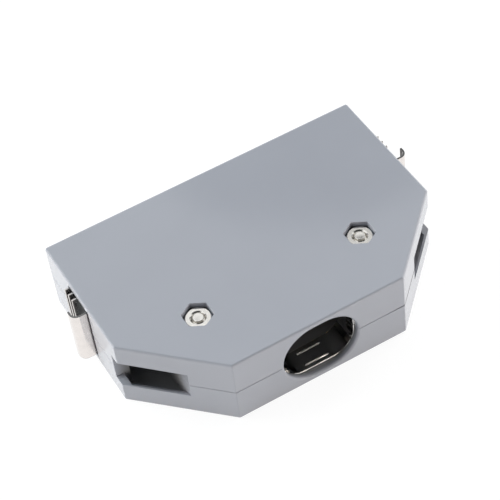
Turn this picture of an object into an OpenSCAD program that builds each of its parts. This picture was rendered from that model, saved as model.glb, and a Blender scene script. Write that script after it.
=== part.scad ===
// Servo connector: a moulded two-part hood with a sprung release lever on each narrow side.
// It holds a three-row socket block at its mating side and a cable clamp at its cable end.
// It lies flat on its lower shell, cable end towards -Y and mating side towards +Y.

/* [Hood] */
// Width across the side walls
hood_w = 68; // [66:0.5:72]
// Length from the cable end to the mating face
hood_d = 45; // [44:0.5:52]
// Thickness of the closed hood
hood_h = 15.8; // [15.4:0.1:18]
// Leg of the 45 degree corners at the cable end
corner_leg = 15.8; // [14:0.1:16.5]
// Rounding of the outer edges
edge_r = 0.5; // [0.3:0.05:0.8]
// Bevel that shows as the parting line
parting_bevel = 0.15; // [0.05:0.01:0.2]
// Wall of the broad faces, the corners and the cable end
wall = 1.4; // [1.2:0.05:1.5]
// Side wall beside the levers
side_wall = 1.6; // [1.4:0.05:1.7]
// Thicker side wall between the corner slot and the lever window
pad_wall = 2.9; // [2.2:0.1:3.2]
// Wall round the socket block at the mating face
mating_wall = 2; // [1.6:0.1:2.4]
// Ribs inside the hood
rib_t = 0.9; // [0.8:0.1:1.4]
// Height of the slots in the corners
slot_h = 6.4; // [5:0.1:7]
// Run of the corner slots into the side walls
slot_wrap = 2.4; // [1:0.1:3.5]
// Flat that the inner chamfer leaves on the slots' long edges
slot_land = 0.45; // [0.3:0.05:0.8]

/* [Cable entry] */
// Width of the cable hole
cable_w = 15.8; // [14:0.1:17]
// Height of the cable hole
cable_h = 13.3; // [11:0.1:13.4]
// Rounding of the outer lip of the cable hole
lip_r = 0.6; // [0.2:0.05:0.6]

/* [Hood screws] */
// Distance between the two hood screws
screw_pitch = 35; // [33:0.5:37]
// Distance of the hood screws from the mating face
screw_set = 31; // [29:0.5:32]
// Thread diameter of all screws
thread_d = 2.6; // [2:0.1:3]
// Diameter of the screw heads
head_d = 5; // [4.4:0.1:5.4]
// Height of the screw heads
head_h = 1.8; // [1.4:0.1:2.2]
// Depth of the screw heads below the bottom face
head_sink = 0.5; // [0.2:0.1:1]
// Length of the cross recess in the screw heads
cross_l = 3; // [2.4:0.1:3.4]
// Width of the cross recess
cross_w = 0.8; // [0.5:0.1:1]
// Depth of the cross recess
cross_depth = 1; // [0.6:0.1:1.1]
// Depth of the screw ends below the top face
tip_sink = 0.6; // [0.2:0.1:0.8]
// Chamfer at the screw ends
tip_chamfer = 0.3; // [0.1:0.05:0.4]
// Width of the nuts across their flats
nut_af = 5; // [4.6:0.1:5.4]
// Diameter of the nuts' turned faces
nut_face_d = 4.7; // [4:0.1:4.7]
// Countersink at both ends of the nuts' threads
nut_mouth = 0.25; // [0.1:0.05:0.35]
// Thickness of the nuts
nut_t = 2; // [1.6:0.1:2.4]
// Depth of the nuts below the top face
nut_sink = 0.9; // [0.8:0.1:1.6]
// Plastic round the screw heads and nuts
boss_wall = 1; // [0.7:0.1:1.3]

/* [Socket block] */
// Contacts in the two outer rows
outer_count = 18; // [14:2:18]
// Contacts in the middle row
middle_count = 14; // [10:2:14]
// Distance between the contacts of a row
contact_pitch = 2.6; // [2.5:0.02:2.64]
// Distance between the rows
row_pitch = 2.6; // [2.4:0.05:2.8]
// Plastic from the outermost contacts to the outside of the block
block_edge = 1.4; // [1.2:0.05:1.5]
// Depth of the block inside the mating face
block_depth = 9.5; // [8:0.1:11]
// Reach of the block past the mating face
nose_reach = 2.6; // [2:0.1:3.2]
// Thickness of the flange that locks the block in the hood
flange_t = 3; // [2:0.1:3.5]
// Corner cut that keys the block
key_cut = 1; // [0.5:0.1:1.2]
// Outer diameter of a contact
contact_d = 1.6; // [1.4:0.05:1.7]
// Hole in a contact for the mating pin and for the wire
socket_d = 1.1; // [0.9:0.05:1.2]
// Depth of the mating hole in a contact
socket_depth = 5; // [4:0.1:6]
// Step of a contact's collar
collar_step = 0.25; // [0.15:0.05:0.35]
// Thickness of a contact's collar
collar_t = 0.6; // [0.4:0.1:0.8]
// Length of the solder cups behind the block
cup_reach = 4.5; // [3.8:0.1:6]
// Depth of the bore in a solder cup
cup_depth = 2.8; // [2.4:0.1:3]
// Length of a solder cup's open side
scoop_len = 2; // [1.2:0.1:2.4]
// Plastic in front of the contacts
face_skin = 1.2; // [0.8:0.1:1.6]

/* [Release levers] */
// Thickness of the lever's sheet metal
sheet_t = 0.4; // [0.35:0.05:0.6]
// Height of the arm inside the hood
arm_h = 8; // [6.5:0.1:8.6]
// Height of the hook
hook_h = 6; // [4:0.1:6.4]
// Distance of the finger tab from the mating face
tab_set = 17.75; // [16.8:0.05:18.5]
// Reach of the finger tab past the side wall
tab_reach = 3; // [2.2:0.1:3.2]
// Length of the finger tab along the side wall
tab_len = 2.3; // [2:0.1:3]
// Outer bend radius of the finger tab
tab_bend = 1.5; // [1:0.1:1.8]
// Room in front of the finger tab for its swing
tab_room = 0.6; // [0.55:0.05:0.9]
// Depth of the grip's back inside the side wall's outer face
grip_in = 2; // [1.6:0.1:2.2]
// Outer radius of the fold between the back and the finger tab
fold_r = 0.9; // [0.7:0.1:1.2]
// Number of grip ribs behind the finger tab
grip_ribs = 3; // [1:1:3]
// Distance between the grip ribs
grip_pitch = 1.55; // [1.2:0.05:1.6]
// Height of the grip ribs above the side wall
grip_rise = 1.05; // [0.5:0.05:1.3]
// Distance from the finger tab's front to the first grip rib
grip_set = 4.15; // [3.4:0.05:4.3]
// Diameter of the pins that the levers turn on
pin_d = 1.6; // [1.2:0.1:1.8]
// Distance of the pins behind the last grip rib
pin_back = 2.4; // [2.2:0.1:2.6]
// Depth of the pins inside the side wall's outer face
pin_in = 3.1; // [3.1:0.05:3.4]
// Plastic round the pins
pin_boss_wall = 0.9; // [0.6:0.1:1]
// Plastic under the ends of the pins
pin_floor = 0.8; // [0.6:0.1:1]
// Reach of the hooks past the mating face
hook_reach = 3.4; // [2.8:0.1:4]
// Length of the hooks inside the mating wall
hook_lead = 1.5; // [1:0.1:2]
// Room beside the hooks for their swing
hook_room = 1.6; // [1.5:0.1:2]
// Catch of the hooks
barb = 1.2; // [0.6:0.1:1.4]
// Length of the hooks' tips
barb_len = 1.4; // [1:0.1:1.6]
// Wire of the return springs
wire_d = 0.45; // [0.35:0.05:0.55]
// Outer diameter of the return springs
spring_d = 4; // [3.4:0.1:4.4]
// Turns of the return springs
spring_turns = 6; // [4:0.5:7]
// Distance of the return springs behind the finger tab's front
spring_set = 3.25; // [2.8:0.05:3.6]
// Length of the hood's pegs in the return springs
spigot_len = 1.5; // [1:0.1:2]
// Length of the levers' pegs in the return springs
dimple_len = 0.6; // [0.4:0.1:1]

/* [Cable clamp] */
// Width of the clamp's straps
strap_w = 5.4; // [5:0.1:5.6]
// Thickness of the clamp's straps
strap_t = 0.5; // [0.4:0.05:0.6]
// Gap between the cable end's wall and the clamp
strap_gap = 0.12; // [0.08:0.01:0.3]
// Flat at the foot of the saddle
strap_flat = 6.7; // [6:0.1:9.4]
// Rise of the clamp's rounded haunches
haunch = 4.6; // [2.6:0.1:5]
// Width between the upright sides of the clamp
throat_w = 15.4; // [14.5:0.1:15.8]
// Distance from the clamp's front edge to its first bead
bead_set = 0.95; // [0.6:0.05:1.2]
// Distance between the two beads that bite the cable
bead_pitch = 3.1; // [2.4:0.1:3.4]
// Length of a bead
bead_l = 5; // [3:0.1:5.6]
// Width of a bead
bead_w = 0.35; // [0.3:0.05:0.7]
// Rise of a bead above the strap
bead_rise = 0.3; // [0.2:0.05:0.4]
// Room between the upper strap and the hood
strap_room = 0.3; // [0.2:0.05:0.4]
// Metal round the clamp screws
ear_edge = 1.4; // [1.2:0.1:1.5]
// Plastic round the clamp screws
post_wall = 1.2; // [0.9:0.1:1.3]
// Distance between the clamp screws
clamp_pitch = 24.4; // [24:0.1:25.4]
// Height of the clamp screws' heads
clamp_head_h = 1.6; // [1.2:0.1:1.8]
// Length of the clamp screws below their heads
clamp_screw_len = 4.2; // [3.4:0.1:4.6]

/* [Clearances] */
// Room between pieces that are set into each other
fit = 0.1; // [0.05:0.01:0.15]
// Room round turning pins and screw threads
play = 0.05; // [0.03:0.01:0.08]
// Room round the screws in the hood
screw_room = 0.15; // [0.1:0.01:0.25]
// Room round the nuts in their pockets
nut_room = 0.18; // [0.1:0.01:0.2]
// Room round the moving levers
swing_room = 0.3; // [0.2:0.05:0.4]

/* [Hidden] */

$fn = 48;
hull_fn = 32;
past = 1;
root2 = sqrt(2);

hood_grey = [0.62, 0.64, 0.68];
nickel = [0.82, 0.81, 0.78];
block_black = [0.09, 0.09, 0.1];
gold = [0.85, 0.68, 0.35];
steel = [0.6, 0.6, 0.6];

mid_z = hood_h / 2;
side_x = hood_w / 2;
front_x = side_x - corner_leg;
mate_reach = max(nose_reach, hook_reach);
cable_y = -(hood_d + mate_reach) / 2;
mate_y = cable_y + hood_d;
corner_y = cable_y + corner_leg;

screw_y = mate_y - screw_set;
screw_hole_r = thread_d / 2 + screw_room;
head_hole_r = head_d / 2 + screw_room;
head_seat_z = head_sink + head_h;
nut_hole_af = nut_af + 2 * nut_room;
nut_floor_z = hood_h - nut_sink - nut_t;
boss_r = max(nut_hole_af / sqrt(3), head_hole_r) + boss_wall;
screw_len = hood_h - tip_sink - head_seat_z;

block_w = (outer_count - 1) * contact_pitch + 2 * block_edge;
block_h = 2 * row_pitch + 2 * block_edge;
flange_h = hood_h - 2 * (wall + fit);
flange_y = mate_y - mating_wall - fit - flange_t;
block_y = mate_y - block_depth;
nose_y = mate_y + nose_reach;
cavity_r = contact_d / 2 + play;
entry_r = socket_d / 2 + fit;
collar_r = contact_d / 2 + collar_step;
contact_len = cup_reach + block_depth + nose_reach - face_skin - fit;

bay_in_x = block_w / 2 + fit;
bay_x = bay_in_x + rib_t;

tab_y = mate_y - tab_set;
back_x = side_x - grip_in;
grip_end_y = tab_y + grip_set + (grip_ribs - 1) * grip_pitch + sheet_t;
window_y = tab_y - tab_room;
window_end_y = grip_end_y + swing_room;
window_h = hood_h - 2 * wall;
grip_h = window_h - 2 * swing_room;
pin_x = side_x - pin_in;
pin_y = grip_end_y + pin_back;
eye_r = pin_d / 2 + play;
arm_out_x = pin_x - eye_r - play;
arm_in_x = arm_out_x - sheet_t;
pin_hole_r = pin_d / 2 + play;
pin_boss_r = pin_d / 2 + pin_boss_wall;
pin_boss_top = mid_z - arm_h / 2 - swing_room / 2;
hook_tip_y = mate_y + hook_reach;
hook_start_y = mate_y - mating_wall - hook_lead;
hook_gate_out = arm_out_x + hook_room;
hook_gate_in = arm_in_x - barb - swing_room;

spring_y = tab_y + spring_set;
spring_r = (spring_d - wire_d) / 2;
spring_x0 = bay_x + wire_d / 2;
spring_x1 = back_x - sheet_t - wire_d / 2;
spigot_r = spring_d / 2 - wire_d - fit;
wire_sides = 6;
turn_steps = 14;

strap_y = cable_y + wall + strap_gap;
ear_x = clamp_pitch / 2 + thread_d / 2 + ear_edge;
saddle_z = wall + strap_t / 2;
ear_z = mid_z - strap_t;
strap_top_z = hood_h - wall - strap_room - strap_t / 2;
throat_x = (throat_w + strap_t) / 2;
clamp_post_r = thread_d / 2 + post_wall;
clamp_post_z = ear_z - strap_t / 2;

// Corner points of the hood's plan, drawn in by a wall at the ends and corners,
// by another at the sides and by a third at the mating face
function plan(end, side, mate) = [
    [side_x - side, mate_y - mate],
    [side_x - side, corner_y - side + end * root2],
    [front_x - end * (root2 - 1), cable_y + end],
    [-front_x + end * (root2 - 1), cable_y + end],
    [-side_x + side, corner_y - side + end * root2],
    [-side_x + side, mate_y - mate]];

// Outline of a bent strip of sheet along a path of points
function unit(v) = v / norm(v);
function left(v) = [-v.y, v.x];
function bend(a, b, c, d) =
    b + d * (left(unit(b - a)) + left(unit(c - b))) / (1 + unit(b - a) * unit(c - b));
function edge(p, d) = [for (i = [0 : len(p) - 1])
    i == 0 ? p[0] + d * left(unit(p[1] - p[0])) :
    i == len(p) - 1 ? p[i] + d * left(unit(p[i] - p[i - 1])) :
    bend(p[i - 1], p[i], p[i + 1], d)];
function flip(p) = [for (i = [len(p) - 1 : -1 : 0]) p[i]];
module strip(p, t) polygon(concat(edge(p, t / 2), flip(edge(p, -t / 2))));

module both_sides() {
    children();
    mirror([1, 0, 0]) children();
}

// A flat shape drawn in X and Z, made thick along +Y
module along_y(len) {
    translate([0, len, 0]) rotate([90, 0, 0]) linear_extrude(len) children();
}

// A flat shape drawn in Y and Z, made thick along +X
module along_x(len) {
    rotate([90, 0, 90]) linear_extrude(len) children();
}

module box(from, to) {
    translate(from) cube(to - from);
}

// Outside of one half of the hood: rounded at its broad face, bevelled at the parting line
module half_skin() {
    hull() for (p = plan(edge_r, edge_r, edge_r)) translate(p) {
        rotate_extrude($fn = hull_fn) rounded_corner();
        translate([0, 0, mid_z - parting_bevel])
            cylinder(parting_bevel, edge_r, edge_r - parting_bevel, $fn = hull_fn);
    }
}

// Quarter circle that rounds the edge of the broad face
module rounded_corner() intersection() {
    translate([0, edge_r]) circle(edge_r, $fn = hull_fn);
    square(edge_r);
}

// Cut of the oval cable hole with its rounded lip
module cable_hole() {
    r = cable_h / 2;
    run = (cable_w - cable_h) / 2;
    translate([0, cable_y, mid_z]) {
        along_y(wall + past) square([2 * run, cable_h], center = true);
        for (x = [-run, run]) translate([x, 0, 0]) rotate([-90, 0, 0]) {
            translate([0, 0, -past]) cylinder(wall + 2 * past, r = r);
            rotate_extrude() lip(r);
        }
        for (turned = [0, 180]) rotate([0, turned, 0])
            translate([-run, 0, 0]) along_x(2 * run) lip_side(r);
    }
}

module lip(r) difference() {
    square([r + lip_r, lip_r]);
    translate([r + lip_r, lip_r]) circle(lip_r);
}

module lip_side(r) difference() {
    square([lip_r, r + lip_r]);
    translate([lip_r, r + lip_r]) circle(lip_r);
}

// One half of the hood, drawn as the lower one
module half_shell() {
    difference() {
        union() {
            difference() {
                half_skin();
                translate([0, 0, wall]) linear_extrude(hood_h) polygon(plan(wall, side_wall, mating_wall));
            }
            both_sides() {
                bay_rib();
                side_pad();
                spring_spigot();
                translate([screw_pitch / 2, screw_y, wall / 2]) cylinder(mid_z - wall / 2, r = boss_r);
                translate([pin_x, pin_y, wall / 2]) cylinder(pin_boss_top - wall / 2, r = pin_boss_r);
            }
            block_rib();
        }
        both_sides() {
            corner_slot();
            lever_window();
            hook_gate();
            translate([pin_x, pin_y, pin_floor]) cylinder(hood_h, r = pin_hole_r);
            translate([screw_pitch / 2, screw_y, -past]) cylinder(hood_h, r = screw_hole_r);
        }
        block_gate();
        cable_hole();
    }
}

// Rib between the wiring space and the lever bay
module bay_rib() {
    start_y = bay_in_x - side_x + corner_y + wall * root2 - wall / 4;
    box([bay_in_x, start_y, wall / 2], [bay_x, mate_y - mating_wall / 2, mid_z]);
}

module side_pad() {
    box([side_x - pad_wall, corner_y + slot_wrap, wall / 2],
        [side_x - side_wall / 2, window_y, mid_z]);
}

// Half of the peg that centres a return spring
module spring_spigot() {
    reach = rib_t / 2 + spigot_len;
    translate([bay_x - rib_t / 2, spring_y, mid_z]) difference() {
        rotate([0, 90, 0]) cylinder(reach, r = spigot_r);
        box([-past, -spigot_r - past, 0], [reach + past, spigot_r + past, spigot_r + past]);
    }
}

// Rib in front of the socket block's flange
module block_rib() {
    box([-bay_in_x - rib_t / 2, flange_y - fit - rib_t, wall / 2],
        [bay_in_x + rib_t / 2, flange_y - fit, mid_z - block_h / 2 - fit]);
}

module corner_slot() {
    box([bay_x, cable_y - past, mid_z - slot_h / 2],
        [side_x + past, corner_y + slot_wrap, hood_h]);
    intersection() {
        slot_chamfer();
        box([bay_x, cable_y, 0], [side_x - side_wall, corner_y + slot_wrap, mid_z]);
    }
}

// Chamfer that thins the corner's wall inside the long edge of its slot
module slot_chamfer() {
    far = wall + past;
    translate([front_x, cable_y, mid_z - slot_h / 2]) rotate([0, 0, 45])
        along_x(corner_leg * root2 + past) polygon([[slot_land, 0], [far, slot_land - far], [far, 0]]);
}

module lever_window() {
    box([bay_x + rib_t, window_y, mid_z - window_h / 2],
        [side_x + past, window_end_y, hood_h]);
}

module hook_gate() {
    box([hook_gate_in, mate_y - mating_wall - past, mid_z - hook_h / 2 - swing_room],
        [hook_gate_out, mate_y + past, hood_h]);
}

module block_gate() {
    box([-block_w / 2 - fit, mate_y - mating_wall - past, mid_z - block_h / 2 - fit],
        [block_w / 2 + fit, mate_y + past, hood_h]);
}

module lower_shell() color(hood_grey) difference() {
    union() {
        half_shell();
        both_sides() translate([clamp_pitch / 2, strap_y + strap_w / 2, wall / 2])
            cylinder(clamp_post_z - wall / 2, r = clamp_post_r);
    }
    both_sides() {
        translate([screw_pitch / 2, screw_y, -past]) cylinder(head_seat_z + past, r = head_hole_r);
        translate([clamp_pitch / 2, strap_y + strap_w / 2, wall]) cylinder(hood_h, r = thread_d / 2 + play);
    }
}

module upper_shell() color(hood_grey) difference() {
    translate([0, 0, hood_h]) mirror([0, 0, 1]) half_shell();
    both_sides() translate([screw_pitch / 2, screw_y, nut_floor_z]) hexagon(nut_hole_af, hood_h);
}

// Hexagonal prism with two corners on the Y axis
module hexagon(af, h) {
    rotate([0, 0, 30]) cylinder(h, r = af / sqrt(3), $fn = 6);
}

module hood_screw() color(nickel) translate([screw_pitch / 2, screw_y, head_seat_z]) {
    r = thread_d / 2;
    pan_head(head_h);
    cylinder(screw_len - tip_chamfer, r = r);
    translate([0, 0, screw_len - tip_chamfer]) cylinder(tip_chamfer, r, r - tip_chamfer);
}

// Domed head with a cross recess, below the plane where it seats
module pan_head(h) {
    dome_r = head_d;
    difference() {
        intersection() {
            translate([0, 0, -h]) cylinder(h, d = head_d);
            translate([0, 0, dome_r - h]) sphere(dome_r);
        }
        for (turned = [0, 90]) rotate([0, 0, turned])
            box([-cross_l / 2, -cross_w / 2, -h - past], [cross_l / 2, cross_w / 2, cross_depth - h]);
    }
}

module hood_nut() color(nickel) translate([screw_pitch / 2, screw_y, nut_floor_z]) difference() {
    hole_r = thread_d / 2 + play;
    mouth_r = hole_r + nut_mouth;
    intersection() {
        hexagon(nut_af, nut_t);
        nut_blank();
    }
    translate([0, 0, -past]) cylinder(nut_t + 2 * past, r = hole_r);
    cylinder(nut_mouth, mouth_r, hole_r);
    translate([0, 0, nut_t - nut_mouth]) cylinder(nut_mouth, hole_r, mouth_r);
}

// Turned blank with 45 degree chamfers that round off the corners of a nut
module nut_blank() {
    face_r = nut_face_d / 2;
    blank_r = nut_af / sqrt(3) + fit;
    drop = blank_r - face_r;
    rotate_extrude() polygon([[0, 0], [face_r, 0], [blank_r, drop],
        [blank_r, nut_t - drop], [face_r, nut_t], [0, nut_t]]);
}

// Outline of the socket block seen from the mating side, with its two keyed corners
module block_outline() {
    x = block_w / 2;
    z = block_h / 2;
    polygon([[-x, -z], [x, -z], [x, z - key_cut], [x - key_cut, z], [key_cut - x, z], [-x, z - key_cut]]);
}

function row_x(count, i) = (i - (count - 1) / 2) * contact_pitch;

module each_contact() {
    for (i = [0 : outer_count - 1]) for (z = [-row_pitch, row_pitch])
        translate([row_x(outer_count, i), 0, mid_z + z]) children();
    for (i = [0 : middle_count - 1]) translate([row_x(middle_count, i), 0, mid_z]) children();
}

module contact_block() color(block_black) difference() {
    union() {
        translate([0, block_y, mid_z]) along_y(nose_y - block_y) block_outline();
        box([-block_w / 2, flange_y, mid_z - flange_h / 2],
            [block_w / 2, flange_y + flange_t, mid_z + flange_h / 2]);
    }
    each_contact() {
        translate([0, block_y - past, 0]) rotate([-90, 0, 0])
            cylinder(block_depth + nose_reach - face_skin + past, r = cavity_r);
        translate([0, nose_y - face_skin - past, 0]) rotate([-90, 0, 0])
            cylinder(face_skin + 2 * past, r = entry_r);
    }
}

// A turned socket contact with its solder cup, cut open on top
module contact() {
    r = contact_d / 2;
    bore = socket_d / 2;
    collar_y = cup_reach - collar_t;
    socket_y = contact_len - socket_depth;
    translate([0, block_y - cup_reach, 0]) difference() {
        rotate([-90, 0, 0]) rotate_extrude() polygon([
            [bore, 0], [r, 0], [r, collar_y], [collar_r, collar_y],
            [collar_r, cup_reach], [r, cup_reach], [r, contact_len], [bore, contact_len],
            [bore, socket_y], [0, socket_y], [0, cup_depth], [bore, cup_depth]]);
        box([-contact_d, -past, 0], [contact_d, scoop_len, contact_d]);
    }
}

module contact_row(count, z, turned) color(gold) {
    for (i = [0 : count - 1])
        translate([row_x(count, i), 0, mid_z + z]) rotate([0, turned, 0]) contact();
}

module contacts_upper() contact_row(outer_count, row_pitch, 0);
module contacts_middle() contact_row(middle_count, 0, 0);
module contacts_lower() contact_row(outer_count, -row_pitch, 180);

// Release lever of the right side: one folded strip with a curled finger tab, a ribbed grip,
// an eye rolled round the pin, and a hook that reaches out of the mating face
module lever() color(nickel) {
    upright(grip_h) grip_plan();
    upright(arm_h) arm_plan();
    upright(hook_h) hook_plan();
    translate([back_x - sheet_t - dimple_len, spring_y, mid_z]) rotate([0, 90, 0])
        cylinder(dimple_len + sheet_t / 2, r = spigot_r);
}

module upright(h) {
    translate([0, 0, mid_z - h / 2]) linear_extrude(h) children();
}

// Back inside the window, finger tab folded out of it, and ribs that are closed folds of the sheet
module grip_plan() {
    fold = [back_x - sheet_t + fold_r, tab_y + fold_r];
    curl = [side_x + tab_reach - tab_bend, tab_y + tab_bend];
    translate([back_x - sheet_t, fold.y]) square([sheet_t, grip_end_y - fold.y]);
    sheet_bend(fold, fold_r, 180);
    translate([fold.x, tab_y]) square([curl.x - fold.x, sheet_t]);
    sheet_bend(curl, tab_bend, -90);
    translate([side_x + tab_reach - sheet_t, curl.y]) square([sheet_t, tab_len - tab_bend]);
    for (i = [0 : grip_ribs - 1]) translate([back_x - sheet_t, tab_y + grip_set + i * grip_pitch])
        closed_fold(sheet_t + grip_in + grip_rise);
}

// Quarter turn of the sheet round a centre, with a given outer radius
module sheet_bend(centre, r, turned) {
    translate(centre) rotate(turned) intersection() {
        difference() {
            circle(r);
            circle(r - sheet_t);
        }
        square(r);
    }
}

// Sheet folded flat on itself, with a round outer edge
module closed_fold(len) {
    r = sheet_t / 2;
    square([len - r, sheet_t]);
    translate([len - r, r]) circle(r);
}

module arm_plan() difference() {
    union() {
        translate([arm_in_x, grip_end_y - sheet_t]) square([back_x - arm_in_x, sheet_t]);
        translate([arm_in_x, grip_end_y - sheet_t]) square([sheet_t, hook_start_y - grip_end_y + sheet_t]);
        translate([pin_x, pin_y]) circle(eye_r + sheet_t);
    }
    translate([pin_x, pin_y]) circle(eye_r);
}

module hook_plan() {
    polygon([[arm_out_x, hook_start_y - past], [arm_out_x, hook_tip_y], [arm_in_x, hook_tip_y],
        [arm_in_x - barb, hook_tip_y - barb_len], [arm_in_x, hook_tip_y - barb_len],
        [arm_in_x, hook_start_y - past]]);
}

module lever_pin() color(steel) {
    end_z = pin_floor + fit;
    translate([pin_x, pin_y, end_z]) cylinder(hood_h - 2 * end_z, d = pin_d);
}

// Points round the wire of a return spring, ring by ring, with closed turns at both ends
function coil_pitch(s) = s < 1 ? 0 : s > spring_turns - 1 ? 1 : (s - 1) / (spring_turns - 2);
function coil_rise(s) = let (
    closed = wire_d * min(s, 1),
    shut = wire_d * max(0, s - spring_turns + 1),
    open = spring_x1 - spring_x0 - 2 * wire_d)
    closed + open * coil_pitch(s) + shut;
function coil_point(s, a) = let (r = spring_r + wire_d / 2 * cos(a)) [
    spring_x0 + coil_rise(s) + wire_d / 2 * sin(a), spring_y + r * cos(360 * s), mid_z + r * sin(360 * s)];

module lever_spring() color(steel) {
    rings = spring_turns * turn_steps;
    points = [for (i = [0 : rings]) for (k = [0 : wire_sides - 1])
        coil_point(i / turn_steps, 360 * k / wire_sides)];
    walls = [for (i = [0 : rings - 1]) for (k = [0 : wire_sides - 1]) let (n = (k + 1) % wire_sides)
        [i * wire_sides + k, i * wire_sides + n, (i + 1) * wire_sides + n, (i + 1) * wire_sides + k]];
    first_cap = [for (k = [wire_sides - 1 : -1 : 0]) k];
    last_cap = [for (k = [0 : wire_sides - 1]) rings * wire_sides + k];
    polyhedron(points, concat(walls, [first_cap, last_cap]));
}

// Half of the cable clamp seen from the cable end: ears, upright sides, rounded haunches and a flat,
// with two beads across it that bite the cable
module clamp_half(flat_z, lug_z) {
    toward = sign(lug_z - flat_z);
    flat_x = strap_flat / 2;
    round_x = throat_x - flat_x;
    haunches = concat(
        [for (a = [90 : -15 : 0]) [-flat_x - round_x * sin(a), flat_z + toward * haunch * (1 - cos(a))]],
        [for (a = [0 : 15 : 90]) [flat_x + round_x * sin(a), flat_z + toward * haunch * (1 - cos(a))]]);
    path = concat([[-ear_x, lug_z], [-throat_x, lug_z]], haunches, [[throat_x, lug_z], [ear_x, lug_z]]);
    bead_z = flat_z + toward * (strap_t / 2 + bead_rise);
    difference() {
        translate([0, strap_y, 0]) along_y(strap_w) strip(path, strap_t);
        both_sides() translate([clamp_pitch / 2, strap_y + strap_w / 2, 0])
            cylinder(hood_h, r = thread_d / 2 + play);
    }
    for (i = [0, 1]) translate([0, strap_y + bead_set + i * bead_pitch, 0])
        box([-bead_l / 2, 0, min(flat_z, bead_z)], [bead_l / 2, bead_w, max(flat_z, bead_z)]);
}

module clamp_saddle() color(nickel) clamp_half(saddle_z, ear_z);
module clamp_strap() color(nickel) clamp_half(strap_top_z, ear_z + strap_t);

module clamp_screw() color(nickel) {
    seat_z = ear_z + strap_t * 1.5;
    translate([clamp_pitch / 2, strap_y + strap_w / 2, seat_z]) {
        mirror([0, 0, 1]) pan_head(clamp_head_h);
        translate([0, 0, -clamp_screw_len]) cylinder(clamp_screw_len, d = thread_d);
    }
}

upper_shell();
lower_shell();
mirror([1, 0, 0]) hood_screw();  // hood_screw_left
hood_screw();  // hood_screw_right
mirror([1, 0, 0]) hood_nut();  // hood_nut_left
hood_nut();  // hood_nut_right
contact_block();
contacts_upper();
contacts_middle();
contacts_lower();
mirror([1, 0, 0]) lever();  // lever_left
lever();  // lever_right
mirror([1, 0, 0]) lever_pin();  // lever_pin_left
lever_pin();  // lever_pin_right
mirror([1, 0, 0]) lever_spring();  // lever_spring_left
lever_spring();  // lever_spring_right
clamp_saddle();
clamp_strap();
mirror([1, 0, 0]) clamp_screw();  // clamp_screw_left
clamp_screw();  // clamp_screw_right
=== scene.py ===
# %% [markdown]
# # Dressing a servo connector
# A servo connector ends the cable of a motor or an encoder. Its flat grey hood is moulded in two halves,
# which two screws and two sunk nuts pull together round the cable and a block of gold contacts.
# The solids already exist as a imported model, so they are loaded first and never moved. What follows gives
# them their finish: eased edges, rolled threads, smooth springs, materials, light and a camera.

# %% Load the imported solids
import math

import bpy
from mathutils import Euler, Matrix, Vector


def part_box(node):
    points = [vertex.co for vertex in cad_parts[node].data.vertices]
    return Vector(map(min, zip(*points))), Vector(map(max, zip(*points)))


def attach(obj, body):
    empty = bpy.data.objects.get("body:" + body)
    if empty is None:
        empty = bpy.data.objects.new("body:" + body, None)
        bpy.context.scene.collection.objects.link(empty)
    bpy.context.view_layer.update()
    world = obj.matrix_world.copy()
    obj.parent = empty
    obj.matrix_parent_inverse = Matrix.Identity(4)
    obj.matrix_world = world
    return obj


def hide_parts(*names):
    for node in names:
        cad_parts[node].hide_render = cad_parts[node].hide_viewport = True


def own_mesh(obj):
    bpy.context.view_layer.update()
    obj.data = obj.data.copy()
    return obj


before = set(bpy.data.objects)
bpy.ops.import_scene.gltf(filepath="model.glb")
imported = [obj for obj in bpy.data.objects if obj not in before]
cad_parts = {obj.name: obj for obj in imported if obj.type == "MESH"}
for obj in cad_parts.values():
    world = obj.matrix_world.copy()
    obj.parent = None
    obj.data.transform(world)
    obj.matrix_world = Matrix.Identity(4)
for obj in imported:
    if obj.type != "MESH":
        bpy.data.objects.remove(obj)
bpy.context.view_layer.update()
MM = 0.001

# %% [markdown]
# ## The camera
# The connector lies on a table and the camera looks down on its cable end from the left. A camera can be
# placed by eye, but here its position comes from matching the corners of the hood, so it is written as a
# viewpoint: the point it looks at, its distance, two angles round that point, and a small roll. A long
# lens keeps the far edge of the hood almost as large as the near one.

# %% Camera
VIEW_POINT = Vector((1.1, 4.2, 7.9)) * MM
VIEW_DISTANCE = 339.6 * MM
VIEW_AZIMUTH = -24.03
VIEW_ELEVATION = 48.5
VIEW_ROLL = -8.0
LENS = 126.24
SENSOR = 36

azimuth = math.radians(VIEW_AZIMUTH)
elevation = math.radians(VIEW_ELEVATION)
backward = Vector((
    math.sin(azimuth) * math.cos(elevation),
    -math.cos(azimuth) * math.cos(elevation),
    math.sin(elevation)))
look = (-backward).to_track_quat("-Z", "Y")
roll = Euler((0, 0, math.radians(VIEW_ROLL))).to_quaternion()

bpy.ops.object.camera_add(location=VIEW_POINT + backward * VIEW_DISTANCE)
camera = bpy.context.object
camera.rotation_mode = "QUATERNION"
camera.rotation_quaternion = look @ roll
camera.data.sensor_width = SENSOR
camera.data.lens = LENS
bpy.context.scene.camera = camera
bpy.context.scene.view_settings.view_transform = "Standard"
print("camera at", [round(value / MM, 1) for value in camera.location])

# %% [markdown]
# ## Helpers for working as by hand
# Blender's operators act on whatever is selected, and the loaded solids start out selected. These helpers
# leave exactly one thing selected, switch edit mode on and off, and pick faces by where they point.

# %% Selection helpers
def select_only(*pieces):
    """Leaves these pieces selected, the last one active."""
    bpy.ops.object.select_all(action="DESELECT")
    for piece in pieces:
        piece.select_set(True)
    bpy.context.view_layer.objects.active = pieces[-1]


def edit(piece, everything=True):
    """Opens a piece in edit mode with all or nothing of it selected."""
    select_only(piece)
    bpy.ops.object.mode_set(mode="EDIT")
    bpy.ops.mesh.select_all(action="SELECT" if everything else "DESELECT")


def done():
    bpy.ops.object.mode_set(mode="OBJECT")


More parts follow.
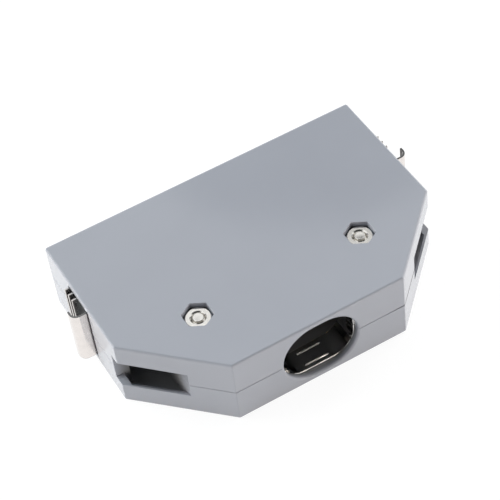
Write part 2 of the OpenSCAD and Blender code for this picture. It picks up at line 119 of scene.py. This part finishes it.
def pick_faces(piece, wanted):
    """Opens a piece in edit mode with just the faces selected for which wanted(face) is true."""
    edit(piece, everything=False)
    done()
    for face in piece.data.polygons:
        face.select = wanted(face)
    bpy.ops.object.mode_set(mode="EDIT")


def apply_modifier(piece, kind, **settings):
    """Adds a modifier, sets it up and applies it at once."""
    select_only(piece)
    modifier = piece.modifiers.new(kind.lower(), kind)
    for setting, value in settings.items():
        setattr(modifier, setting, value)
    bpy.ops.object.modifier_apply(modifier=modifier.name)


def smooth(piece, angle=32):
    select_only(piece)
    bpy.ops.object.shade_smooth_by_angle(angle=math.radians(angle))


def seat(piece, body, slot, finish, *nodes):
    """Gives a finished piece its material and its CAD body, and hides the nodes that it stands for."""
    piece.data.materials.clear()
    piece.data.materials.append(finish)
    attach(piece, body)
    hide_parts(*nodes)
    print(piece.name, "rides on", body, "with", len(piece.data.polygons), "faces")


# %% [markdown]
# ## Shared parts of the finishes
# Every finish is a Principled shader with procedural texture on Object coordinates, which stay fixed to
# the piece wherever it moves. A few small functions add what most finishes need: grain, a range for a
# value, and a bump. Coordinates are in metres, so a grain of a quarter of a millimetre has a scale of
# about 4000.

# %% Finish helpers
MIX_COLOURS = (6, 7)  # a Mix node's colour sockets come after those for numbers and vectors
MIX_RESULT = 2


class Finish:
    """A node material with short ways to add grain, ranges and bump."""

    def __init__(self, name):
        self.material = bpy.data.materials.new(name)
        self.material.use_nodes = True
        self.nodes = self.material.node_tree.nodes
        self.links = self.material.node_tree.links
        self.shader = self.nodes["Principled BSDF"]
        self.place = self.nodes.new("ShaderNodeTexCoord").outputs["Object"]

    def set(self, **values):
        for name, value in values.items():
            self.shader.inputs[name.replace("_", " ")].default_value = value

    def wire(self, output, socket):
        self.links.new(output, self.shader.inputs[socket])

    def axes(self):
        """The place along X, Y and Z."""
        node = self.nodes.new("ShaderNodeSeparateXYZ")
        self.links.new(self.place, node.inputs["Vector"])
        return node.outputs["X"], node.outputs["Y"], node.outputs["Z"]

    def maths(self, operation, first, second=None):
        node = self.nodes.new("ShaderNodeMath")
        node.operation = operation
        for socket, value in zip(node.inputs, (first, second)):
            if isinstance(value, (int, float)):
                socket.default_value = value
            elif value is not None:
                self.links.new(value, socket)
        return node.outputs[0]

    def stretched(self, scale):
        node = self.nodes.new("ShaderNodeMapping")
        node.inputs["Scale"].default_value = scale
        self.links.new(self.place, node.inputs["Vector"])
        return node.outputs["Vector"]

    def grain(self, scale, detail=2, where=None):
        node = self.nodes.new("ShaderNodeTexNoise")
        node.inputs["Scale"].default_value = scale
        node.inputs["Detail"].default_value = detail
        self.links.new(where or self.place, node.inputs["Vector"])
        return node.outputs["Fac"]

    def between(self, value, low, high, start=0.3, end=0.7, smoothly=False):
        """Goes from low to high while value goes from start to end, which suit grain as they are."""
        node = self.nodes.new("ShaderNodeMapRange")
        node.interpolation_type = "SMOOTHSTEP" if smoothly else "LINEAR"
        self.links.new(value, node.inputs["Value"])
        for name, number in (("From Min", start), ("From Max", end), ("To Min", low), ("To Max", high)):
            node.inputs[name].default_value = number
        return node.outputs["Result"]

    def mixed(self, share, first, second):
        node = self.nodes.new("ShaderNodeMix")
        node.data_type = "RGBA"
        self.links.new(share, node.inputs["Factor"])
        for index, value in zip(MIX_COLOURS, (first, second)):
            if isinstance(value, tuple):
                node.inputs[index].default_value = (*value, 1)
            else:
                self.links.new(value, node.inputs[index])
        return node.outputs[MIX_RESULT]

    def bump(self, height, strength, distance):
        node = self.nodes.new("ShaderNodeBump")
        node.inputs["Strength"].default_value = strength
        node.inputs["Distance"].default_value = distance
        self.links.new(height, node.inputs["Height"])
        self.wire(node.outputs["Normal"], "Normal")


# %% [markdown]
# ## Moulded hood plastic
# The hood is satin grey ABS: smooth, with a very fine texture left by the mould, and no paint. One flat
# colour would look like a computer's grey, so two close greys drift into each other, the gloss varies a
# little, and a fine grain roughens the surface. Inside, a darker grey is painted on the walls as shade for
# the dark inside of the hood. This painted shade fades out over the thickness of each wall, so the rims of
# the openings stay pale, and a mask made from the depth behind each wall paints it without cutting the
# mesh.
# The parting line between the halves gets a thin painted shadow of its gap, without gloss, which is a
# second mask by height. Towards the right it is wider and darker.

# %% Hood plastic
shell_low, shell_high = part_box("lower_shell")
hood_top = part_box("upper_shell")[1].z
MID_Z = hood_top / 2
SIDE_X = shell_high.x
CABLE_Y = shell_low.y
MATE_Y = shell_high.y
CORNER_LEG = 15.8 * MM
WALL = 1.4 * MM
PAD_WALL = 2.9 * MM
MATING_WALL = 2 * MM
HOOD_GREYS = ((0.366, 0.374, 0.418), (0.376, 0.384, 0.429))
DRIFT_SCALE = 70
GLOSS_SCALE = 60
HOOD_ROUGHNESS = (0.05, 0.08)
MOULD_TEXTURE_SCALE = 5200
MOULD_TEXTURE_STRENGTH = 0.004
MOULD_TEXTURE_DEPTH = 0.01 * MM
PLAIN_SPECULAR = 0.5
# the grey painted as shade inside the hood
INSIDE_SHADE_GREY = (0.24, 0.24, 0.247)
# the dark painted as a shadow along the parting line
SEAM_SHADE_GREY = (0.06, 0.059, 0.059)
SEAM_HALF = 0.14 * MM
SEAM_CORE = 0.5  # the share of its width over which the seam is full
SEAM_OPEN_HALF = 0.24 * MM
SEAM_TIGHT_X = 13 * MM
SEAM_OPEN_X = 21 * MM
SEAM_TIGHT_SHADE = 0.06


def inside_shade_mask(finish, across, along, height):
    """Painted shade: 1 deep inside the hood, 0 on its outside and on the rims of its openings."""
    corner = SIDE_X - CABLE_Y - CORNER_LEG - WALL * math.sqrt(2)
    layers = (
        # depth behind a wall's inner plane, and the depths in mm where the painted shade starts and is full
        (finish.maths("SUBTRACT", SIDE_X - PAD_WALL, across), -2.85, -0.3),
        (finish.maths("SUBTRACT", MID_Z - WALL, height), -0.3, -0.05),
        (finish.maths("SUBTRACT", along, CABLE_Y + WALL), -0.75, -0.02),
        (finish.maths("SUBTRACT", MATE_Y - MATING_WALL, along), -0.5, 0),
        (finish.maths("SUBTRACT", corner, finish.maths("SUBTRACT", across, along)), 0, 3.5))
    inside_shade = None
    for depth, start, full in layers:
        layer = finish.between(depth, 0, 1, start * MM, full * MM, smoothly=True)
        inside_shade = layer if inside_shade is None else finish.maths("MINIMUM", inside_shade, layer)
    return inside_shade


def hood_plastic():
    finish = Finish("hood_plastic")
    x, y, z = finish.axes()
    across = finish.maths("ABSOLUTE", x)
    height = finish.maths("ABSOLUTE", finish.maths("SUBTRACT", z, MID_Z))
    drift = finish.between(finish.grain(DRIFT_SCALE, 3), 0, 1)
    grey = finish.mixed(drift, *HOOD_GREYS)
    # painted shadow along the parting line: darker and without gloss, wider and darker towards the right
    gap = finish.between(x, 0, 1, SEAM_TIGHT_X, SEAM_OPEN_X, smoothly=True)
    half = finish.between(gap, SEAM_HALF, SEAM_OPEN_HALF, 0, 1)
    seam = finish.between(finish.maths("DIVIDE", height, half), 1, 0, SEAM_CORE, 1, smoothly=True)
    seam_shade = finish.maths("MULTIPLY", seam, finish.between(gap, SEAM_TIGHT_SHADE, 1, 0, 1))
    seamed = finish.mixed(seam_shade, grey, SEAM_SHADE_GREY)
    # painted shade inside the hood: a darker grey that fades out over the thickness of each wall
    inside_shade = inside_shade_mask(finish, across, y, height)
    finish.wire(finish.mixed(inside_shade, seamed, INSIDE_SHADE_GREY), "Base Color")
    finish.wire(finish.between(seam_shade, PLAIN_SPECULAR, 0, 0, 1), "Specular IOR Level")
    finish.wire(finish.between(finish.grain(GLOSS_SCALE), *HOOD_ROUGHNESS), "Roughness")
    finish.bump(finish.grain(MOULD_TEXTURE_SCALE), MOULD_TEXTURE_STRENGTH, MOULD_TEXTURE_DEPTH)
    return finish.material


hood_finish = hood_plastic()
print("hood finish has", len(hood_finish.node_tree.nodes), "nodes")

# %% [markdown]
# ## Nickel, sheet steel, gold and black plastic
# Plated metal is a mirror with faults, so its life comes from what it reflects and from small changes in
# roughness. The lever's sheet and the clamp's strips keep the fine lines of rolling, made by grain that
# is stretched along one axis. Masks by place paint shade on the lever's sheet inside its bend and between
# its ribs, as a darker colour with more roughness, and darken the cut edges of its tab, where plating is
# dark on sheared edges. The spring wire has drawn lines, and the contacts a soft gold flash. The socket
# block is glass-filled black plastic, with a slight mottle.

# %% Masks on the levers
# the darker colour painted as shade in the lever's folds
LEVER_FOLD_SHADE = (0.5, 0.505, 0.505)
LEVER_CUT = (0.19, 0.19, 0.19)
CUT_EDGE = 0.09 * MM
TAB_BEND = 1.5 * MM
TAB_SKIN = 0.2 * MM
TAB_END = 3 * MM
GRIP_END = 9 * MM
RIB_FADE = 1.4 * MM


def lever_masks(finish):
    """Painted shade in the lever's folds, fading towards the tips of its ribs, and the cut edges of its
    tab.
    """
    lever_low, lever_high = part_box("lever_right")
    x, y, z = finish.axes()
    across = finish.maths("ABSOLUTE", x)
    along = finish.maths("SUBTRACT", y, lever_low.y)
    tab = finish.maths("LESS_THAN", along, TAB_END)
    outward = finish.maths("SUBTRACT", across, lever_high.x - TAB_BEND)
    forward = finish.maths("SUBTRACT", TAB_BEND, along)
    squares = [finish.maths("POWER", finish.maths("MAXIMUM", way, 0), 2) for way in (outward, forward)]
    reach = finish.maths("SQRT", finish.maths("ADD", *squares))
    inside = finish.maths("LESS_THAN", reach, TAB_BEND - TAB_SKIN)
    grip = finish.between(across, 1, 0, SIDE_X, SIDE_X + RIB_FADE)
    shaded_zone = finish.maths("MAXIMUM", grip, tab)
    ends = finish.maths("LESS_THAN", along, GRIP_END)
    recess = finish.maths("MULTIPLY", finish.maths("MULTIPLY", inside, shaded_zone), ends)
    height = finish.maths("ABSOLUTE", finish.maths("SUBTRACT", z, MID_Z))
    cut = finish.maths("GREATER_THAN", height, lever_high.z - MID_Z - CUT_EDGE)
    return recess, finish.maths("MULTIPLY", cut, tab)


# %% Metal and block finishes
TINT = 0.93  # the darker shade of a plating
TINT_SCALE = 500
LINE_DEPTH = 0.02 * MM
FOLD_ROUGHNESS = 0.15
BLOCK_BLACKS = ((0.010, 0.010, 0.011), (0.022, 0.022, 0.024))
BLOCK_ROUGHNESS = (0.38, 0.52)
MOTTLE_SCALE = 1500
FIBRE_SCALE = 2500
BLOCK_TEXTURE_SCALE = 6000
BLOCK_TEXTURE_STRENGTH = 0.08
BLOCK_TEXTURE_DEPTH = 0.04 * MM


def metal(name, colour, roughness, lines, strength, fold_shade=None):
    """Plated metal. lines is its grain's scale along X, Y and Z, and the last argument the colour painted
    as shade in a lever's folds.
    """
    finish = Finish(name)
    finish.set(Metallic=1.0)
    worked = finish.grain(1, 3, finish.stretched(lines))
    shade = tuple(TINT * value for value in colour)
    plated = finish.mixed(finish.between(finish.grain(TINT_SCALE), 0, 1), shade, colour)
    rough = finish.between(worked, *roughness)
    if fold_shade:
        recess, cut = lever_masks(finish)
        # painted shade: a darker colour inside the lever's bend and between its ribs, and dark cut edges on
        # its tab
        plated = finish.mixed(cut, finish.mixed(recess, plated, fold_shade), LEVER_CUT)
        rough = finish.maths("ADD", rough, finish.maths("MULTIPLY", recess, FOLD_ROUGHNESS))
    finish.wire(plated, "Base Color")
    finish.wire(rough, "Roughness")
    finish.bump(worked, strength, LINE_DEPTH)
    return finish.material


def block_plastic():
    finish = Finish("block_plastic")
    mottle = finish.between(finish.grain(MOTTLE_SCALE, 4), 0, 1)
    finish.wire(finish.mixed(mottle, *BLOCK_BLACKS), "Base Color")
    finish.wire(finish.between(finish.grain(FIBRE_SCALE), *BLOCK_ROUGHNESS), "Roughness")
    finish.bump(finish.grain(BLOCK_TEXTURE_SCALE), BLOCK_TEXTURE_STRENGTH, BLOCK_TEXTURE_DEPTH)
    return finish.material


nickel_finish = metal("bright_nickel", (0.88, 0.865, 0.83), (0.12, 0.2), (1500, 1500, 1500), 0.01)
lever_finish = metal("lever_steel", (0.85, 0.80, 0.77), (0.12, 0.2), (600, 600, 5000), 0.01, LEVER_FOLD_SHADE)
clamp_finish = metal("clamp_steel", (0.80, 0.79, 0.77), (0.06, 0.12), (500, 4000, 4000), 0.01)
wire_finish = metal("spring_steel", (0.58, 0.58, 0.58), (0.25, 0.40), (900, 4000, 4000), 0.10)
gold_finish = metal("contact_gold", (0.95, 0.72, 0.33), (0.16, 0.28), (3000, 900, 3000), 0.05)
block_finish = block_plastic()
print("finishes:", [material.name for material in bpy.data.materials])

# %% [markdown]
# ## Eased copies of the solids
# A moulded or stamped edge is never as sharp as a solid's edge in CAD, and it is the tiny rounding that
# catches the light. A solid arrives as loose triangles, so a copy is merged, its flat faces are dissolved
# into whole polygons, and a narrow bevel eases every edge sharper than fifty degrees. The nuts keep the
# chamfers that they were cut with and get no bevel. The clamp's strips first have their two rims rounded,
# as a rim that grips a cable is. Two bevels have to fit on the narrowest ledge between sharp edges, or
# they fold over. In the socket block that is the ledge in front of each contact. The copy then stands for
# the solid, which stays hidden for collision.

# %% Easing a solid
WELD = 0.002 * MM
FLAT_ANGLE = math.radians(1)
SHARP_ANGLE = math.radians(50)
HOOD_EASE = 0.1 * MM
LEVER_EASE = 0.07 * MM
STRIP_EASE = 0.085 * MM
STRIP_RIM = 0.2 * MM
BLOCK_EASE = 0.07 * MM


def round_rims(piece, node, radius):
    """Rounds the two rims of a strip, at its ends along Y, so that they don't cut a cable."""
    ends = [corner.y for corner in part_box(node)]
    pick_faces(piece, lambda face: min(abs(face.center.y - end) for end in ends) < WELD)
    bpy.ops.mesh.bevel(offset=radius, segments=3, profile=0.5)
    done()


def eased_copy(node, name, ease=0, rims=0):
    """A merged copy of a CAD node, its sharp edges bevelled by ease and its rims rounded if asked."""
    piece = bpy.data.objects.new(name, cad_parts[node].data.copy())
    bpy.context.scene.collection.objects.link(piece)
    select_only(piece)
    bpy.ops.mesh.customdata_custom_splitnormals_clear()
    edit(piece)
    bpy.ops.mesh.remove_doubles(threshold=WELD)
    bpy.ops.mesh.dissolve_limited(angle_limit=FLAT_ANGLE)
    done()
    if rims:
        round_rims(piece, node, rims)
    if ease:
        apply_modifier(
            piece, "BEVEL", width=ease, segments=2, limit_method="ANGLE",
            angle_limit=SHARP_ANGLE, use_clamp_overlap=False)
    smooth(piece)
    apply_modifier(piece, "WEIGHTED_NORMAL", mode="FACE_AREA", weight=100, keep_sharp=True)
    return piece


# %% Hood, levers, nuts, clamp and block
for half in ("upper", "lower"):
    moulding = eased_copy(f"{half}_shell", f"{half}_moulding", HOOD_EASE)
    seat(moulding, "hood", "hood_plastic", hood_finish, f"{half}_shell")

for side in ("left", "right"):
    sheet = eased_copy(f"lever_{side}", f"{side}_lever_sheet", LEVER_EASE)
    seat(sheet, f"{side}_lever", "lever_steel", lever_finish, f"lever_{side}")
    nut = eased_copy(f"hood_nut_{side}", f"{side}_plated_nut")
    seat(nut, "hood", "bright_nickel", nickel_finish, f"hood_nut_{side}")

for half in ("saddle", "strap"):
    strip = eased_copy(f"clamp_{half}", f"{half}_strip", STRIP_EASE, STRIP_RIM)
    seat(strip, "hood", "clamp_steel", clamp_finish, f"clamp_{half}")

block = eased_copy("contact_block", "socket_block", BLOCK_EASE)
seat(block, "hood", "block_plastic", block_finish, "contact_block")

# %% [markdown]
# ## Screws with rolled threads
# Four small pan-head screws hold the connector together, and the ends of two of them show in the nuts. A
# thread could be a bump, but the end of a screw shows its run-out in outline, so it is real: a triangle
# is swept up a helix by the Screw modifier, and stops a little short of the tip. The core is a cylinder
# with a bevelled tip and a dimple, and the head is a cylinder with a rounded rim and a cross cut by a
# Boolean. Each screw is made at the origin, its seat in the XY plane and its shank upwards, and then moved
# to its place.

# %% Screw parts
THREAD_D = 2.6 * MM
THREAD_PITCH = 0.45 * MM
THREAD_DEPTH = 0.27 * MM
THREAD_BURY = 0.05 * MM
THREAD_HALF = 0.46 * THREAD_PITCH
THREAD_STEPS = 28
CORE_SIDES = 40
TIP_PLAIN = 0.3 * MM
TIP_CHAMFER = 0.06 * MM
TIP_LAND = 0.32 * MM
DIMPLE_SLOPE = 0.14 * MM
DIMPLE_DEPTH = 0.006 * MM
HEAD_D = 5 * MM
HEAD_SIDES = 56
HEAD_ROUND = 0.42  # share of the head's height
CROSS_L = 3 * MM
CROSS_W = 0.8 * MM
CROSS_REACH = 1.2  # height of the cutter, half of which is in the head, to the head's height
CROSS_TAPER = 0.55


def faces_up(face):
    return face.normal.z > 0.9


def faces_down(face):
    return face.normal.z < -0.9


def screw_core(length):
    """The shank without its thread, with a chamfer, a flat land and a shallow dimple at its tip."""
    root_r = THREAD_D / 2 - THREAD_DEPTH
    bpy.ops.mesh.primitive_cylinder_add(
        vertices=CORE_SIDES, radius=root_r, depth=length, location=(0, 0, length / 2))
    core = bpy.context.object
    bpy.ops.object.transform_apply(location=True)
    pick_faces(core, faces_up)
    bpy.ops.mesh.inset(thickness=TIP_CHAMFER, depth=0)
    bpy.ops.mesh.inset(thickness=TIP_LAND, depth=0)
    bpy.ops.mesh.inset(thickness=DIMPLE_SLOPE, depth=-DIMPLE_DEPTH)
    done()
    for vertex in core.data.vertices:
        rim = math.hypot(vertex.co.x, vertex.co.y) > root_r - TIP_CHAMFER / 2
        if rim and vertex.co.z > length / 2:
            vertex.co.z -= TIP_CHAMFER
    return core


def screw_thread(length):
    """The thread, a triangle swept up a helix, with its root a little inside the core."""
    outer_r = THREAD_D / 2
    inner_r = outer_r - THREAD_DEPTH - THREAD_BURY
    profile = ((inner_r, 0), (outer_r, THREAD_HALF), (inner_r, 2 * THREAD_HALF))
    bpy.ops.mesh.primitive_circle_add(vertices=len(profile), radius=THREAD_HALF)
    thread = bpy.context.object
    for vertex, (x, z) in zip(thread.data.vertices, profile):
        vertex.co = (x, 0, z)
    turns = int((length - THREAD_PITCH) / THREAD_PITCH)
    apply_modifier(
        thread, "SCREW", axis="Z", angle=math.tau, screw_offset=THREAD_PITCH, iterations=turns,
        steps=THREAD_STEPS, render_steps=THREAD_STEPS, use_normal_calculate=False)
    edit(thread)
    bpy.ops.mesh.fill_holes(sides=len(profile))
    bpy.ops.mesh.normals_make_consistent(inside=False)
    bpy.ops.transform.translate(value=(0, 0, length - TIP_PLAIN - (turns + 1) * THREAD_PITCH))
    done()
    return thread


def screw_head(height):
    """A pan head below the seat, its rim rounded, with a tapered cross cut into it."""
    bpy.ops.mesh.primitive_cylinder_add(
        vertices=HEAD_SIDES, radius=HEAD_D / 2, depth=height, location=(0, 0, -height / 2))
    head = bpy.context.object
    bpy.ops.object.transform_apply(location=True)
    pick_faces(head, faces_down)
    bpy.ops.mesh.bevel(offset=HEAD_ROUND * height, segments=6, profile=0.5)
    done()
    for turned in (0, math.pi / 2):
        bpy.ops.mesh.primitive_cube_add(size=1, location=(0, 0, -height), rotation=(0, 0, turned))
        cutter = bpy.context.object
        cutter.scale = (CROSS_L, CROSS_W, CROSS_REACH * height)
        bpy.ops.object.transform_apply(location=True, rotation=True, scale=True)
        pick_faces(cutter, faces_up)
        bpy.ops.transform.resize(value=(CROSS_TAPER, CROSS_TAPER, 1))
        done()
        apply_modifier(head, "BOOLEAN", operation="DIFFERENCE", object=cutter, solver="EXACT")
        bpy.data.objects.remove(cutter)
    return head


# %% Screws in their places
def add_screw(name, place, length, head_height, head_up, node):
    """Joins a screw's parts, turns it over if its head is up, and seats it at its place."""
    parts = [screw_thread(length), screw_head(head_height), screw_core(length)]
    select_only(*parts)
    bpy.ops.object.join()
    screw = bpy.context.object
    screw.name = name
    screw.rotation_euler = (math.pi if head_up else 0, 0, 0)
    screw.location = place
    bpy.ops.object.transform_apply(location=True, rotation=True)
    smooth(screw)
    seat(screw, "hood", "bright_nickel", nickel_finish, node)


HEAD_H = 1.8 * MM
CLAMP_HEAD_H = 1.6 * MM
FLUSH = 0.22 * MM  # the solids' ends stand this much too far out of their nuts

for side in ("left", "right"):
    low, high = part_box(f"hood_screw_{side}")
    middle = (low + high) / 2
    seat_z = low.z + HEAD_H
    add_screw(
        f"{side}_hood_screw_threaded", (middle.x, middle.y, seat_z),
        high.z - FLUSH - seat_z, HEAD_H, False, f"hood_screw_{side}")
    low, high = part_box(f"clamp_screw_{side}")
    middle = (low + high) / 2
    seat_z = high.z - CLAMP_HEAD_H
    add_screw(
        f"{side}_clamp_screw_threaded", (middle.x, middle.y, seat_z),
        seat_z - low.z, CLAMP_HEAD_H, True, f"clamp_screw_{side}")

# %% [markdown]
# ## Return springs
# A small compression spring behind each lever pushes its tab outwards. Its end turns lie closed against
# their neighbours and the turns between them are open, so the rise of the coil changes along its length.
# A curve through points on that coil, thickened into wire, follows it exactly.

# %% Springs
WIRE_D = 0.45 * MM
TURNS = 6
STEPS = 28
SPRING_SMOOTH = 50


def coil_share(turn):
    """How far along the open part of the spring a turn is, from 0 to 1."""
    return min(1, max(0, (turn - 1) / (TURNS - 2)))


def add_spring(side, outward):
    """A coil from the hood's rib, at its start, to the lever. outward is its way along X."""
    low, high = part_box(f"lever_spring_{side}")
    middle = (low + high) / 2
    radius = (high.y - low.y - WIRE_D) / 2
    start = (low.x if outward > 0 else high.x) + outward * WIRE_D / 2
    open_run = high.x - low.x - 3 * WIRE_D  # without two closed turns and the wire's own thickness
    bpy.ops.curve.primitive_nurbs_path_add()
    coil = bpy.context.object
    coil.data.splines.clear()
    wire = coil.data.splines.new("POLY")
    wire.points.add(TURNS * STEPS)
    for index, point in enumerate(wire.points):
        turn = index / STEPS
        closed = WIRE_D * (min(turn, 1) + max(0, turn - TURNS + 1))
        rise = closed + open_run * coil_share(turn)
        point.co = (
            start + outward * rise,
            middle.y + radius * math.cos(math.tau * turn),
            middle.z + radius * math.sin(math.tau * turn), 1)
    coil.data.bevel_depth = WIRE_D / 2
    coil.data.bevel_resolution = 3
    coil.data.use_fill_caps = True
    select_only(coil)
    bpy.ops.object.convert(target="MESH")
    spring = bpy.context.object
    spring.name = f"{side}_coil_spring"
    edit(spring)
    bpy.ops.mesh.remove_doubles(threshold=WELD)
    bpy.ops.mesh.normals_make_consistent(inside=False)
    done()
    smooth(spring, SPRING_SMOOTH)
    seat(spring, "hood", "spring_steel", wire_finish, f"lever_spring_{side}")
    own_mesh(spring)


add_spring("left", -1)
add_spring("right", 1)

# %% [markdown]
# ## Solids that stay as they are
# The three rows of contacts and the lever pins have their final shape in the solids, so they only get
# their finishes.

# %% Finishes on the remaining solids
KEPT_FINISHES = {
    "contacts_upper": gold_finish,
    "contacts_middle": gold_finish,
    "contacts_lower": gold_finish,
    "lever_pin_left": wire_finish,
    "lever_pin_right": wire_finish}

for node, finish in KEPT_FINISHES.items():
    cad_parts[node].material_slots[0].material = finish
print("kept solids:", len(KEPT_FINISHES))

# %% [markdown]
# ## White table and studio light
# The connector lies on white paper in a light tent. The floor has to look white and still take a soft
# shadow, so the camera sees paper lifted to white by a little glow, while light that bounces sees plain
# matt paper. The world outside is a white tent, which lights the object evenly from all sides.

# %% Floor
FLOOR_SIZE = 3
PAPER = (0.92, 0.92, 0.92, 1)
PAPER_SEEN = (0.16, 0.16, 0.16, 1)
PAPER_GLOW = 0.9


def seen_directly(nodes, links):
    """1 for rays from the camera, a mirror or glass, and 0 for light that bounces."""
    path = nodes.new("ShaderNodeLightPath")
    total = path.outputs["Is Camera Ray"]
    for kind in ("Is Glossy Ray", "Is Transmission Ray"):
        node = nodes.new("ShaderNodeMath")
        node.operation = "MAXIMUM"
        links.new(total, node.inputs[0])
        links.new(path.outputs[kind], node.inputs[1])
        total = node.outputs[0]
    return total


def paper():
    """Matt white paper for light that bounces, and darker paper with a glow where it is seen."""
    material = bpy.data.materials.new("white_paper")
    material.use_nodes = True
    nodes, links = material.node_tree.nodes, material.node_tree.links
    nodes.clear()
    seen = seen_directly(nodes, links)
    colour = nodes.new("ShaderNodeMix")
    colour.data_type = "RGBA"
    for index, value in zip(MIX_COLOURS, (PAPER, PAPER_SEEN)):
        colour.inputs[index].default_value = value
    links.new(seen, colour.inputs["Factor"])
    matt = nodes.new("ShaderNodeBsdfDiffuse")
    links.new(colour.outputs[MIX_RESULT], matt.inputs["Color"])
    lift = nodes.new("ShaderNodeMath")
    lift.operation = "MULTIPLY"
    lift.inputs[1].default_value = PAPER_GLOW
    links.new(seen, lift.inputs[0])
    glow = nodes.new("ShaderNodeEmission")
    links.new(lift.outputs[0], glow.inputs["Strength"])
    both = nodes.new("ShaderNodeAddShader")
    links.new(matt.outputs[0], both.inputs[0])
    links.new(glow.outputs[0], both.inputs[1])
    output = nodes.new("ShaderNodeOutputMaterial")
    links.new(both.outputs[0], output.inputs["Surface"])
    return material


bpy.ops.object.select_all(action="DESELECT")
bpy.ops.mesh.primitive_plane_add(size=FLOOR_SIZE)
floor = bpy.context.object
floor.name = "paper_floor"
floor.data.materials.append(paper())
print("floor", FLOOR_SIZE, "m across")

# %% [markdown]
# ## The tent and its dark patches
# An even white tent makes edges vanish and broad faces dull, so photographers hang dark cards in it. A
# wide flap above the cable end draws thin dark lines on edges that face it, gives sunk nuts and slots
# depth, and gives metal something dark to mirror. A small gap at the back is mirrored by the far half of
# the broad top, which gets a soft border in its sheen. Each is a patch of the world, found by the angle
# to its middle.

# %% World
TENT_COLOUR = (0.92, 0.95, 0.975, 1)
WHITE = (1, 1, 1, 1)
PATCHES = {
    # name: (middle, cosines of its soft edge from outside to inside, level inside)
    "front_flap": (Vector((-0.05, -0.6, 0.8)), (0.55, 0.8), 0.06),
    "rear_gap": (Vector((0.344, 0.668, 0.66)), (0.9922, 0.9942), 0)}


def patch(nodes, links, middle, edges, level):
    """1 outside a round patch of the tent, and its level inside."""
    towards = nodes.new("ShaderNodeVectorMath")
    towards.operation = "DOT_PRODUCT"
    links.new(nodes.new("ShaderNodeTexCoord").outputs["Generated"], towards.inputs[0])
    towards.inputs[1].default_value = middle.normalized()
    node = nodes.new("ShaderNodeMapRange")
    node.interpolation_type = "SMOOTHSTEP"
    links.new(towards.outputs["Value"], node.inputs["Value"])
    for name, number in zip(("From Min", "From Max", "To Min", "To Max"), (*edges, 1, level)):
        node.inputs[name].default_value = number
    return node.outputs["Result"]


def studio_world():
    """The tent and its patches: white where it is seen, and a little cool for light that bounces."""
    world = bpy.data.worlds.new("light_tent")
    world.use_nodes = True
    nodes, links = world.node_tree.nodes, world.node_tree.links
    nodes.clear()
    strength = nodes.new("ShaderNodeMath")
    strength.operation = "MULTIPLY"
    for socket, shape in zip(strength.inputs, PATCHES.values()):
        links.new(patch(nodes, links, *shape), socket)
    either = nodes.new("ShaderNodeMixShader")
    links.new(seen_directly(nodes, links), either.inputs[0])
    for index, colour in ((1, TENT_COLOUR), (2, WHITE)):
        tent = nodes.new("ShaderNodeBackground")
        tent.inputs["Color"].default_value = colour
        links.new(strength.outputs[0], tent.inputs["Strength"])
        links.new(tent.outputs[0], either.inputs[index])
    output = nodes.new("ShaderNodeOutputWorld")
    links.new(either.outputs[0], output.inputs["Surface"])
    return world


bpy.context.scene.world = studio_world()
print("dark patches in the tent:", list(PATCHES))

# %% [markdown]
# ## Lamps round the tent
# Four wide lamps give the faces different levels: a cool one above the far left, one low on each side,
# and a low one in front that draws bright lines on the clamp's rounded rims. Mirrors show that last one
# alone. Otherwise a low view would find a glare on the broad top.

# %% Lamps
LAMPS = {
    # name: (place, width, height, power in watts, colour, whether mirrors show it)
    "overhead_lamp": ((-0.36, 0.45, 0.5), 0.5, 0.5, 1.5, (0.56, 0.84, 1.0), False),
    "left_lamp": ((-0.42, 0.38, 0.13), 0.5, 0.24, 3.6, (1.0, 0.94, 0.83), False),
    "right_lamp": ((0.45, 0.02, 0.12), 0.3, 0.22, 1.6, (1.0, 0.98, 0.92), False),
    "front_lamp": ((0.2, -0.6, 0.065), 0.9, 0.11, 1.8, (1.0, 0.94, 0.86), True)}

for name, (place, width, height, power, colour, mirrored) in LAMPS.items():
    aim = (Vector((0, 0, MID_Z)) - Vector(place)).to_track_quat("-Z", "Y")
    bpy.ops.object.light_add(type="AREA", location=place, rotation=aim.to_euler())
    lamp = bpy.context.object
    lamp.name = name
    lamp.data.shape = "RECTANGLE"
    lamp.data.size = width
    lamp.data.size_y = height
    lamp.data.energy = power
    lamp.data.color = colour
    lamp.visible_glossy = mirrored
print("lamps:", list(LAMPS))
